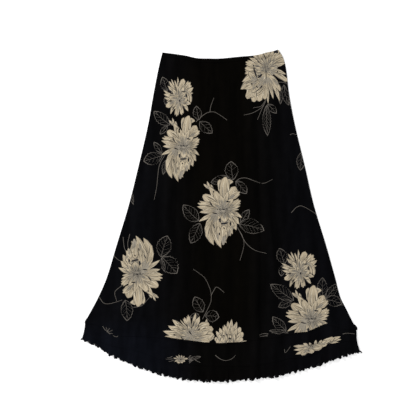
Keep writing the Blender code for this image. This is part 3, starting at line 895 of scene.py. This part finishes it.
def cloth_material(name, colour=None, specular=CLOTH_SPECULAR):
    """A crepe: a fine uneven weave as bump, with the colour a little uneven between its threads. With no
    colour of its own it is the black of the dye with painted light: a painted sheen, lighter and cooler
    towards the sides and most at the lower left, and painted fold shading in soft stripes down the skirt."""
    made = Nodes(name)
    at = made.add("TexCoord", "Object")

    def threads(direction):
        settings = {"bands_direction": direction}
        look = {"Scale": THREADS_PER_M / 2 / math.pi, "Distortion": THREAD_DISTORTION, "Detail": 1.0}
        return made.add("TexWave", "Fac", settings, Vector=at, **look)

    def noise(vector, scale, detail):
        return made.add("TexNoise", "Fac", Vector=vector, Scale=scale, Detail=detail)

    def maths(operation, a, b):
        return made.add("Math", 0, {"operation": operation}, _0=a, _1=b)

    def mapped(value, low, high, new_low, new_high):
        ends = {"From_Min": low, "From_Max": high, "To_Min": new_low, "To_Max": new_high}
        return made.add("MapRange", 0, Value=value, **ends)

    def shaded(shade, value, shades):
        scale = mapped(value, *NOISE_RANGE, *shades)
        return made.add("VectorMath", 0, {"operation": "SCALE"}, _0=shade, Scale=scale)

    grain, clouds = noise(at, GRAIN, 3.0), noise(at, CLOUDS, 4.0)
    if colour is None:
        # painted light: a lighter, cooler painted sheen towards the sides, strongest at the lower left
        across = made.add("SeparateXYZ", "X", Vector=at)
        foot = mapped(made.add("SeparateXYZ", "Y", Vector=at), *SHEEN_BELOW, 0.0, 1.0)
        left = mapped(across, -SHEEN_FROM[0], -SHEEN_FROM[1], 0.0, SHEEN_SIDE)
        right = mapped(across, *SHEEN_FROM, 0.0, SHEEN_SIDE)
        left = maths("MULTIPLY", left, mapped(foot, 0.0, 1.0, 1.0, SHEEN_FOOT[0]))
        right = maths("MULTIPLY", right, mapped(foot, 0.0, 1.0, 1.0, SHEEN_FOOT[1]))
        sheen = maths("ADD", maths("ADD", left, right), mapped(foot, 0.0, 1.0, 0.0, SHEEN_FOOT[2]))
        blacks = {"_6": (*WARM_BLACK, 1), "_7": (*SHEEN_BLACK, 1)}
        dyed_and_sheen = made.add("Mix", 2, {"data_type": "RGBA"}, _0=sheen, **blacks)
        # painted fold shading: soft stripes that darken and lighten the black down the skirt
        fold_streaks = made.add("VectorMath", 0, {"operation": "MULTIPLY"}, _0=at, _1=FOLD_SHADE_STREAKS)
        colour = shaded(dyed_and_sheen, noise(fold_streaks, 1.0, 2.0), PAINTED_FOLD_SHADES)
    relief = maths("MULTIPLY", threads("X"), threads("Y"))
    relief = maths("ADD", relief, maths("MULTIPLY", grain, GRAIN_RELIEF))
    rough = (CLOTH_ROUGHNESS - ROUGHNESS_SPREAD, CLOTH_ROUGHNESS + ROUGHNESS_SPREAD)
    look = {
        "Base Color": shaded(colour, clouds, CLOUD_SHADES),
        "Normal": made.add("Bump", "Normal", Strength=BUMP, Distance=BUMP_DEPTH, Height=relief),
        "Roughness": mapped(grain, 0.0, 1.0, *rough),
        "Specular IOR Level": specular,
    }
    for socket, value in look.items():
        made.feed(made.shader.inputs[socket], value)
    return made.material


# The cloth ink, with no colour given, is the black with a painted sheen and painted fold shading.
INK_MATERIALS = [cloth_material("ink_" + ink, INK_COLOURS.get(ink)) for ink in INKS]
THREAD_MATERIAL = cloth_material("thread_black", (0.003, 0.003, 0.004), 0.05)
EDGE_MATERIAL = cloth_material("overlock_thread", (0.004, 0.004, 0.006), 0.35)

# ---- making cloth

MAP_STEP = 1.0  # mm between the points of a panel's map of heights
MERGE = 0.004  # mm within which the cutter joins points
STRAIGHT_WITHIN = 0.03  # mm: a border's point nearer than this to its neighbours' line is left out
OUTLINE_WIDTH = 0.75  # m that the points along a panel's upper and lower edge are counted for


def left_wound(points):
    """The points anticlockwise, as the cutting of faces needs them."""
    x, y = points[:, 0], points[:, 1]
    turning = np.sum(x * np.roll(y, -1) - np.roll(x, -1) * y)
    return points if turning > 0 else points[::-1]


def triangulated(points, edges, faces):
    verts, _, triangles, _, _, sources = delaunay_2d_cdt(
        [Vector(point) for point in points], edges, faces, 1 if faces else 0, MERGE
    )
    return np.array([tuple(v) for v in verts]), np.array(triangles), sources


def sides_of(triangles):
    return np.stack([triangles, np.roll(triangles, -1, 1)], 2).reshape(-1, 2)


def borders_of(triangles, inks):
    """The edges between two inks, each once."""
    sides = sides_of(triangles)
    keys = np.sort(sides, 1) @ [triangles.max() + 1, 1]
    order = np.argsort(keys, kind="stable")
    keys, owners, sides = keys[order], np.repeat(inks, 3)[order], sides[order]
    return sides[:-1][(keys[:-1] == keys[1:]) & (owners[:-1] != owners[1:])].tolist()


def straightened(points, edges, fixed):
    """The borders without the points that lie on the line between their neighbours. Fixed points stay."""
    near = {}
    for a, b in edges:
        near.setdefault(a, set()).add(b)
        near.setdefault(b, set()).add(a)
    for k in list(near):
        if len(near[k]) != 2 or k in fixed:
            continue
        a, b = near[k]
        if b in near[a]:
            continue
        run, step = points[b] - points[a], points[k] - points[a]
        if abs(run[0] * step[1] - run[1] * step[0]) < STRAIGHT_WITHIN * math.hypot(*run):
            near[a].remove(k)
            near[b].remove(k)
            near[a].add(b)
            near[b].add(a)
            del near[k]
    return [(a, b) for a, others in near.items() for b in others if a < b]


def rim_of(triangles):
    """The boundary's points in order, anticlockwise."""
    sides = sides_of(triangles)
    size = triangles.max() + 1
    single = sides[~np.isin(sides @ [size, 1], sides @ [1, size])]
    after = dict(single.tolist())
    loop = [min(after)]
    while len(loop) < len(after) and after[loop[-1]] != loop[0]:
        loop.append(after[loop[-1]])
    assert len(loop) == len(single), "the rim isn't one loop"
    return loop


def within(shape, at):
    """Which points lie in a polygon: a line to the right from them crosses it an odd number of times."""
    ahead = np.roll(shape, -1, 0)
    x, y = at[:, :1], at[:, 1:]
    rise = np.where(ahead[:, 1] == shape[:, 1], 1, ahead[:, 1] - shape[:, 1])
    crossing = shape[:, 0] + (y - shape[:, 1]) / rise * (ahead[:, 0] - shape[:, 0])
    spans = (shape[:, 1] > y) != (ahead[:, 1] > y)
    return (spans & (x < crossing)).sum(1) % 2 == 1


def tops_of(middles, sources, shapes):
    """The number of the topmost shape at each triangle. Where two lines all but meet, the triangulation can
    name a shape beyond its own edge, so each name is tested."""
    owners = np.repeat(np.arange(len(sources)), [len(ids) for ids in sources])
    ids = np.array([k for found in sources for k in found])
    order = np.argsort(ids, kind="stable")
    starts = np.searchsorted(ids[order], np.arange(len(shapes) + 1))
    tops = np.zeros(len(sources), int)
    for k in range(1, len(shapes)):
        named = owners[order[starts[k] : starts[k + 1]]]
        tops[named[within(shapes[k], middles[named])]] = k
    return tops


def cut(outline, inside, drawn):
    """The outline's area in triangles, cut along what shows of the drawn polygons, with inside's points in
    between. Gives points, triangles and inks."""
    low, high = outline.min(0) - 1e-6, outline.max(0) + 1e-6
    shapes, inks = [left_wound(outline)], [0]
    for ink, points in drawn:
        if (points.max(0) > low).all() and (points.min(0) < high).all():
            shapes.append(left_wound(points))
            inks.append(INKS.index(ink))
    starts = np.cumsum([0] + [len(shape) for shape in shapes])
    faces = [list(range(a, b)) for a, b in zip(starts, starts[1:])]
    points, triangles, sources = triangulated(np.concatenate(shapes), [], faces)
    kept = [k for k, ids in enumerate(sources) if 0 in ids]
    triangles, sources = triangles[kept], [sources[k] for k in kept]
    top_inks = np.array(inks)[tops_of(points[triangles].mean(1), sources, shapes)]
    tree = BVHTree.FromPolygons([(x, y, 0) for x, y in points], triangles.tolist())
    rim = rim_of(triangles)
    edges = straightened(points, borders_of(triangles, top_inks), set(rim))
    used = rim + sorted({k for edge in edges for k in edge} - set(rim))
    renamed = {k: i for i, k in enumerate(used)}
    edges = [(renamed[a], renamed[b]) for a, b in edges]
    points, triangles, _ = triangulated(
        np.concatenate([points[used], inside]), edges, [list(range(len(rim)))]
    )
    under = [tree.find_nearest((x, y, 0))[2] for x, y in points[triangles].mean(1).tolist()]
    used, renamed = np.unique(triangles, return_inverse=True)
    return points[used], renamed.reshape(-1, 3), top_inks[under]


def drop_of(top, foot):
    """How far it is down the middle from one station to another."""
    return float(np.ptp(height_at(np.full(2, 0.5), np.array([top, foot]))))


def lattice(top, foot, across_step, down_step):
    """Points between two stations, about as far apart as the steps, clear of the outline, in mm."""
    rows = []
    for station in np.linspace(top, foot, max(int(drop_of(top, foot) / down_step), 1) + 1)[1:-1]:
        count = int(width_at(np.array([station]))[0] / across_step)
        rows.append(np.stack(place(np.linspace(0, 1, count + 1)[1:-1], station), 1))
    return np.concatenate(rows) / MM if rows else np.zeros((0, 2))


def outline_between(top, foot, step):
    """The outline of the skirt between two stations, in mm."""
    across = np.linspace(0, 1, int(OUTLINE_WIDTH / step))
    down = np.linspace(top, foot, max(int(drop_of(top, foot) / step), 2))
    sides = [(across, top), (1, down[1:-1]), (across[::-1], foot), (0, down[::-1][1:-1])]
    return np.concatenate([np.stack(place(*side), 1) for side in sides]) / MM


class Relief:
    """A panel's upper side or under side as heights on a square grid, with their slopes, read in between."""

    def __init__(self, low, high, top, foot, height):
        self.low = low - 2 * MAP_STEP
        counts = np.ceil((high + 2 * MAP_STEP - self.low) / MAP_STEP).astype(int) + 1
        x, y = (self.low[k] + MAP_STEP * np.arange(counts[k]) for k in (0, 1))
        x, y = np.meshgrid(x * MM, y * MM)
        across, station = find(x, y)
        self.heights = height(across, np.clip(station, top, foot))
        down, along = np.gradient(self.heights, MAP_STEP * MM)
        self.slopes = (along, down)

    def read(self, grid, points):
        at = (points - self.low) / MAP_STEP
        i = np.clip(np.floor(at).astype(int), 0, np.array(grid.shape)[::-1] - 2)
        share = at - i
        rows = [
            mix(grid[i[:, 1] + k, i[:, 0]], grid[i[:, 1] + k, i[:, 0] + 1], share[:, 0]) for k in (0, 1)
        ]
        return mix(rows[0], rows[1], share[:, 1])

    def at(self, points):
        return self.read(self.heights, points)

    def normals(self, points):
        along, down = (self.read(slope, points) for slope in self.slopes)
        normals = np.stack([-along, -down, np.ones(len(points))], 1)
        return normals / np.linalg.norm(normals, axis=1)[:, None]


def linked(name, data):
    made = bpy.data.objects.new(name, data)
    bpy.context.scene.collection.objects.link(made)
    return made


def new_piece(name, verts, faces, materials, slot, inks=None, normals=None):
    mesh = bpy.data.meshes.new(name)
    mesh.from_pydata(np.asarray(verts).tolist(), [], faces)
    for material in materials:
        mesh.materials.append(material)
    if inks is not None:
        mesh.polygons.foreach_set("material_index", np.asarray(inks, np.int32))
    mesh.shade_smooth()
    mesh.update()
    if normals is not None:
        mesh.normals_split_custom_set_from_vertices(normals.tolist())
    piece = linked(name, mesh)
    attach(piece, BODY)
    return piece


def make_panel(node, top, foot, thick, steps, hemmed):
    """A printed panel of cloth as a closed shell: the cut printed side, a plain inner side and a rim."""
    outline = outline_between(top, foot, steps[0])
    points, triangles, inks = cut(outline, lattice(top, foot, *steps), print_of(node))
    loop = rim_of(triangles)
    plain, plain_triangles, _ = cut(points[loop], lattice(top, foot, *(2 * step for step in steps)), [])

    def over(across, station):
        return outer(node, across, station)

    def under(across, station):
        depth = thick
        if hemmed:
            hem = place(across, np.full_like(station, foot))[1]
            from_hem = place(across, station)[1] - hem
            depth = mix(HEM_THICK, thick, eased((from_hem - HEM_TURN) / MM + 0.5))
        return np.maximum(over(across, station) - depth, 0)

    low, high = outline.min(0), outline.max(0)
    upper, lower = (Relief(low, high, top, foot, side) for side in (over, under))
    sides = [(upper, 1), (lower, -1)]
    if node.endswith("back"):
        sides.reverse()
        triangles, plain_triangles = triangles[:, ::-1], plain_triangles[:, ::-1]
    shaped = [(sides[0], points), (sides[1], plain)]
    verts = np.concatenate([np.column_stack([at * MM, side.at(at)]) for (side, _), at in shaped])
    normals = np.concatenate([way * side.normals(at) for (side, way), at in shaped])
    keys = {tuple(point): k + len(points) for k, point in enumerate(np.round(plain, 3).tolist())}
    partner = [keys[tuple(point)] for point in np.round(points[loop], 3).tolist()]
    faces = triangles.tolist() + (plain_triangles[:, ::-1] + len(points)).tolist()
    ring = zip(loop, loop[1:] + loop[:1], partner[1:] + partner[:1], partner)
    faces += [quad if node.endswith("back") else quad[::-1] for quad in ring]
    inks = inks.tolist() + [0] * (len(faces) - len(inks))
    piece = new_piece(node + "_cloth", verts, faces, INK_MATERIALS, "printed_cloth", inks, normals)
    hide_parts(node)
    return piece


def ruffle_wave(across, start):
    """The lettuce waves at shares across: each one's height from 0 to 1, and there its bulge from 0 to 1 and
    the share of the wave."""
    differ, run = RUFFLE_WIDTHS
    widths = 1 + differ * np.sin(run * (np.arange(RUFFLES) + start))
    ends = np.concatenate([[0], np.cumsum(widths)]) / widths.sum()
    which = np.clip(np.searchsorted(ends, across, side="right") - 1, 0, RUFFLES - 1)
    along = (across - ends[which]) / (ends[which + 1] - ends[which])
    return 0.5 + 0.5 * np.sin(RUFFLE_PHASE * (which + start)), (1 - np.cos(math.tau * along)) / 2, along


def make_ruffled(node, start, heights, columns, rows):
    """The lower flounce: a grid whose waves grow towards the lettuce hem. Gives the piece and its hem."""
    shares, stations = np.linspace(0, 1, columns + 1), np.linspace(LOWER_SEAM, 3, rows + 1)
    across, station = np.meshgrid(shares, stations)
    x, y = place(across, station)
    wave, bulge, along = ruffle_wave(across, start)
    flutter = straight(RUFFLE_SHARE, station) ** RUFFLE_GROWTH
    fall = side_fall(across, station)
    rise = mix(*heights, wave) * bulge * flutter * fall
    curl = np.sin(4 * math.pi * along) * flutter * fall
    lean = RUFFLE_LEAN[0] * np.sin(RUFFLE_LEAN[1] * np.floor(across * RUFFLES + start))
    drift = FRILL_DRIFT[0] * np.sin(math.tau * FRILL_DRIFT[1] * across + start)
    frill = np.sin(math.tau * FRILLS * across + drift) * flutter**2
    reach = RUFFLE_REACH * HEM_REACH * mix(*HEM_REACHES, wave)
    x = x + rise * lean + RUFFLE_CURL * mix(*RUFFLE_CURLS, wave) * curl
    y = y - reach * (bulge - 0.5) * flutter - FRILL_REACH * frill
    top = outer(node, across, station) + rise + FRILL_RISE * FRILL_REACH * (1 + frill) * flutter
    under = np.maximum(top - CLOTH_THICK, 0)
    verts = np.concatenate([np.stack([x, y, z], 2).reshape(-1, 3) for z in (top, under)])
    wide, size = columns + 1, x.size
    k = (np.arange(rows)[:, None] * wide + np.arange(columns)).ravel()
    upper = np.stack([k, k + wide, k + wide + 1, k + 1], 1)
    loop = [
        *range(wide),
        *(row * wide + columns for row in range(1, rows + 1)),
        *(rows * wide + i for i in range(columns - 1, -1, -1)),
        *(row * wide for row in range(rows - 1, 0, -1)),
    ]
    faces = upper.tolist() + (upper[:, ::-1] + size).tolist()
    faces += [(a, b, b + size, a + size) for a, b in zip(loop, loop[1:] + loop[:1])]
    piece = new_piece(node + "_cloth", verts, faces, [INK_MATERIALS[0]], "plain_cloth")
    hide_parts(node)
    return piece, np.column_stack([x[-1], y[-1], top[-1] - CLOTH_THICK / 2])


def run_along(points):
    """How far it is to each point along a line of them."""
    return np.concatenate([[0], np.cumsum(np.linalg.norm(np.diff(points, axis=0), axis=1))])


def skinned(rings):
    """The vertices and faces of a skin over rings of points."""
    count, sides = len(rings), len(rings[0])
    faces = []
    for i in range(count - 1):
        for j in range(sides):
            a, b = i * sides + j, i * sides + (j + 1) % sides
            faces.append((a, b, b + sides, a + sides))
    faces.append(tuple(range(sides))[::-1])
    faces.append(tuple((count - 1) * sides + j for j in range(sides)))
    return np.asarray(rings).reshape(-1, 3), faces


def tube(name, centres, half_wide, half_high, sides, material, slot):
    """A closed tube along points, oval, with half_high upwards. Both halves may vary along it."""
    centres = np.asarray(centres, float)
    ahead = np.gradient(centres, axis=0)
    ahead[:, 2] = 0
    ahead /= np.linalg.norm(ahead, axis=1)[:, None]
    out = np.column_stack([-ahead[:, 1], ahead[:, 0], np.zeros(len(centres))])
    wide, high = (np.broadcast_to(half, len(centres))[:, None, None] for half in (half_wide, half_high))
    cos, sin = (row[None, :, None] for row in circle(sides))
    rings = centres[:, None] + wide * cos * out[:, None] + high * sin * np.array([0, 0, 1.0])
    return new_piece(name, *skinned(rings), [material], slot)


# ---- trims

STITCH_LENGTH, STITCH_PITCH, STITCH_THICK = 2.3 * MM, 3.1 * MM, 0.42 * MM
STITCH_FORM = ((-0.5, 0.35), (-0.3, 1.0), (0.3, 1.0), (0.5, 0.35))  # share along, share of thickness
STITCH_SIDES = 6
STITCH_RUN = (0.006, 0.994, 3000)  # the first and the last share across, and the points to measure at
SEAM_INSET, SEAM_HALF, SEAM_SIDES = 0.25 * MM, 0.8 * MM, 10
MERROW_PITCH, MERROW_SIDES = 0.55 * MM, 7
MERROW_HALF, MERROW_TURN = 0.72, 0.12  # mm: the rope's, and how far every second turn stands out
CORNER_RUN = (0.981, 1.003, 11)  # the first and the last station, and the number of points
CORNER_BULGE, CORNER_FULLNESS = (0.05, 0.95), 0.7  # shares of a half wave along it, and a power
CORNER_LEAST = 0.4 * MM  # its half width but for the bulge
CORNER_OUT = 0.8  # of its swell that lies outside the seam
CORNER_HIGH = 0.45  # its half height, as a share of the layers'
TAIL_HALVES, TAIL_SIDES, TAIL_POINTS = (2.2 * MM, 1.1 * MM), 7, 9
TAIL_CURL, TAIL_DROP = 1.6, 0.7  # powers: how late it turns down the skirt, and how early to the floor


def stitches(name, node, station):
    """A row of lockstitches across the skirt at a station, each a slim bead half sunk in the cloth."""
    fine = np.linspace(*STITCH_RUN)
    run = run_along(np.stack(place(fine, station), 1))
    begins = np.arange(0, run[-1] - STITCH_LENGTH, STITCH_PITCH)
    ends = [np.interp(at, run, fine) for at in (begins, begins + STITCH_LENGTH)]
    tips = [np.stack([*place(at, station), outer(node, at, np.full_like(at, station))], 1) for at in ends]
    centres, along = (tips[0] + tips[1]) / 2, tips[1] - tips[0]
    out = np.column_stack([-along[:, 1], along[:, 0], 0 * begins])
    out /= np.linalg.norm(out, axis=1)[:, None]
    cos, sin = (row[:, None] for row in circle(STITCH_SIDES))
    verts, faces = [], []
    for centre, ahead, side in zip(centres, along, out):
        round_it = (cos * side + sin * [0, 0, 1]) * STITCH_THICK / 2
        rings = [centre + ahead * share + round_it * size for share, size in STITCH_FORM]
        bead, bead_faces = skinned(rings)
        faces += [tuple(k + len(verts) for k in face) for face in bead_faces]
        verts += bead.tolist()
    return new_piece(name, verts, faces, [THREAD_MATERIAL], "plain_cloth")


def layers_at(share, stations, node):
    """X, Y and the upper and the under side of the front and back pieces together at a share across."""
    across = np.full(len(stations), float(share))
    high, low = (outer(node + side, across, stations) for side in ("_front", "_back"))
    return *place(across, stations), high, low - WALL


def side_seam(name, share, node, top, foot, count):
    """The rounded edge where a front piece turns into the back one."""
    x, y, high, low = layers_at(share, np.linspace(top, foot, count), node)
    centres = np.column_stack([x + (1 - 2 * share) * SEAM_INSET, y, (high + low) / 2])
    halves = (SEAM_HALF, (high - low) / 2)
    return tube(name, centres, *halves, SEAM_SIDES, INK_MATERIALS[0], "printed_cloth")


def merrow_edge(name, hem):
    """The overlocked lettuce edge: a round rope of thread with the turns of the stitch standing up on it."""
    run = run_along(hem)
    at = np.arange(0, run[-1], MERROW_PITCH)
    line = np.stack([np.interp(at, run, hem[:, k]) for k in range(3)], 1)
    swell = (MERROW_HALF + MERROW_TURN * (np.arange(len(at)) % 2)) * MM
    line[:, 2] = np.maximum(line[:, 2], swell)
    return tube(name, line, swell, swell, MERROW_SIDES, EDGE_MATERIAL, "plain_cloth")


def hem_corner(name, share, swell):
    """The thick end of the body's hem at a side seam, where its turnings lie on each other."""
    stations = np.linspace(*CORNER_RUN)
    x, y, high, low = layers_at(share, stations, "body")
    bulge = np.sin(np.linspace(*CORNER_BULGE, len(stations)) * math.pi) ** CORNER_FULLNESS
    out = (2 * share - 1) * CORNER_OUT * swell * bulge
    centres = np.column_stack([x + out, y, (high + low) / 2])
    halves = (CORNER_LEAST + swell * bulge, CORNER_HIGH * (high - low))
    return tube(name, centres, *halves, SEAM_SIDES, THREAD_MATERIAL, "plain_cloth")


def thread_tail(name, start, reach_x, reach_y):
    """The short chain of thread left where the overlocked edge ends, curling down to the floor."""
    share = np.linspace(0, 1, TAIL_POINTS)
    x, y = start[0] + reach_x * share, start[1] + reach_y * share**TAIL_CURL
    half = mix(*TAIL_HALVES, share)
    z = np.maximum(mix(start[2], 0, share**TAIL_DROP), half)
    line = np.column_stack([x, y, z])
    return tube(name, line, half, half, TAIL_SIDES, THREAD_MATERIAL, "plain_cloth")


# ---- the skirt

# The printed panels: stations, thickness, metres between points across and down, and if a hem is turned.
CASING_FORM = (0, CASING_END, 0.9 * CASING_WALL, (2.2 * MM, 1.4 * MM), False)
FLOUNCE_FORM = (UPPER_SEAM, 2, CLOTH_THICK, (4.5 * MM, 5 * MM), True)
PANELS = {
    "body_front": (BODY_TOP, 1, CLOTH_THICK, (4.5 * MM, 6 * MM), True),
    "body_back": (BODY_TOP, 1, CLOTH_THICK, (8 * MM, 10 * MM), False),
    "waist_casing_front": CASING_FORM,
    "waist_casing_back": CASING_FORM,
    "upper_flounce_front": FLOUNCE_FORM,
    "upper_flounce_back": FLOUNCE_FORM,
}
# Where the lettuce waves begin, the heights of the lowest and the highest, and the grid's columns and rows.
LETTUCE = {"front": (0, (3.0 * MM, 6.0 * MM), 900, 30), "back": (7, (0.8 * MM, 1.6 * MM), 720, 18)}
CORNER_SWELLS = {"left": 1.3 * MM, "right": 2.6 * MM}
# The end of the hem that a tail hangs on, and its reach across and along.
TAILS = {"left": (0, -3.5 * MM, -4 * MM), "right": (-1, 6 * MM, -4.5 * MM)}
# The side seams' name, pieces, stations and number of points.
SIDE_SEAMS = (("side_seam", "body", BODY_TOP, 1, 160), ("flounce_seam", "upper_flounce", 1.02, 2, 24))
# The rows of stitches: their piece and station. The body is 0.8 m long and the upper flounce 0.058 m.
STITCH_ROWS = {
    "casing_stitches": ("waist_casing_front", CASING_END * CASING_STITCH),
    "body_hem_stitches": ("body_front", 1 - HEM_TURN / 0.8),
    "flounce_hem_stitches": ("upper_flounce_front", 2 - HEM_TURN / 0.058),
}


def make_skirt():
    body_front, body_back, *others = (make_panel(node, *form) for node, form in PANELS.items())
    lowers = {side: make_ruffled("lower_flounce_" + side, *form) for side, form in LETTUCE.items()}
    for side, (_, hem) in lowers.items():
        merrow_edge("lettuce_edge_" + side, hem)
    (lower_front, front_hem), (lower_back, _) = lowers.values()
    for share, (side, swell) in enumerate(CORNER_SWELLS.items()):
        hem_corner("hem_corner_" + side, share, swell)
    for side, (end, *reach) in TAILS.items():
        thread_tail("thread_tail_" + side, front_hem[end], *reach)
    for share, side in enumerate(("left", "right")):
        for name, *run in SIDE_SEAMS:
            side_seam(f"{name}_{side}", share, *run)
    for name, row in STITCH_ROWS.items():
        stitches(name, *row)
    return body_front, body_back, others[:2], others[2:], lower_front, lower_back


def declare(body_front, body_back, casings, uppers, lower_front, lower_back):
    """Goes over each panel and the pieces under it, but records nothing about them."""
    for piece in (body_front, body_back):
        under = ["body_back"] if piece == body_front else []
        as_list(under)
    for casing in casings:
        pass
    for piece, under in zip(uppers, (["lower_flounce_front"], ["body_back"])):
        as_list(under)
    for piece, under in ((lower_front, ["lower_flounce_back"]), (lower_back, ["upper_flounce_back"])):
        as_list(under)


# ---- floor, light and camera

PIXEL = 2.8 * MM  # the size of one of the picture's pixels on the skirt
PICTURE_WIDTH = 416 * PIXEL
PICTURE_MIDDLE = (-13.0 * PIXEL, 7.5 * PIXEL)
CAMERA_HEIGHT = 3.2
SENSOR = 36.0
FLOOR_HALF, FLOOR_DROP = 20, 0.4 * MM
FLOOR_LOOK = {
    "Base Color": (0.90, 0.90, 0.90, 1),
    "Emission Color": (1, 1, 1, 1),
    "Emission Strength": 0.35,  # the glow of a light table, as cut-out pictures are taken on
    "Roughness": 0.9,
    "Specular IOR Level": 0.1,
}
# Each lamp's place, size in metres and watts. They face the origin.
LAMPS = {"key": ((-2.6, 1.3, 2.2), 1.1, 104), "fill": ((1.8, -1.6, 2.6), 2.0, 24)}
SKY_STRENGTH = 0.52


def make_floor():
    corners = [(x * FLOOR_HALF, y * FLOOR_HALF, -FLOOR_DROP) for x, y in ((-1, -1), (1, -1), (1, 1), (-1, 1))]
    mesh = bpy.data.meshes.new("floor")
    mesh.from_pydata(corners, [], [(0, 1, 2, 3)])
    paper = Nodes("floor_paper")
    for socket, value in FLOOR_LOOK.items():
        paper.feed(paper.shader.inputs[socket], value)
    mesh.materials.append(paper.material)
    floor = linked("floor", mesh)
    floor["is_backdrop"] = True


def add_lamp(name, spot, size, watts):
    light = bpy.data.lights.new(name, "AREA")
    light.shape = "DISK"
    light.size = size
    light.energy = watts
    lamp = linked(name, light)
    lamp.location = spot
    lamp.rotation_euler = (-Vector(spot)).to_track_quat("-Z", "Y").to_euler()


def make_studio():
    world = bpy.data.worlds.new("studio")
    world.use_nodes = True
    sky = world.node_tree.nodes["Background"].inputs
    sky["Color"].default_value = (1, 1, 1, 1)
    sky["Strength"].default_value = SKY_STRENGTH
    bpy.context.scene.world = world
    for name, lamp in LAMPS.items():
        add_lamp(name, *lamp)
    bpy.context.scene.view_settings.view_transform = "Standard"


def make_camera():
    data = bpy.data.cameras.new("camera")
    data.sensor_width = SENSOR
    data.lens = SENSOR * CAMERA_HEIGHT / PICTURE_WIDTH
    camera = linked("camera", data)
    camera.location = (*PICTURE_MIDDLE, CAMERA_HEIGHT)
    bpy.context.scene.camera = camera


make_camera()
make_floor()
make_studio()
declare(*make_skirt())

sizes = {"cad": cad_box, "visual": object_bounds()}
{key: [list(corner) for corner in box] for key, box in sizes.items()}
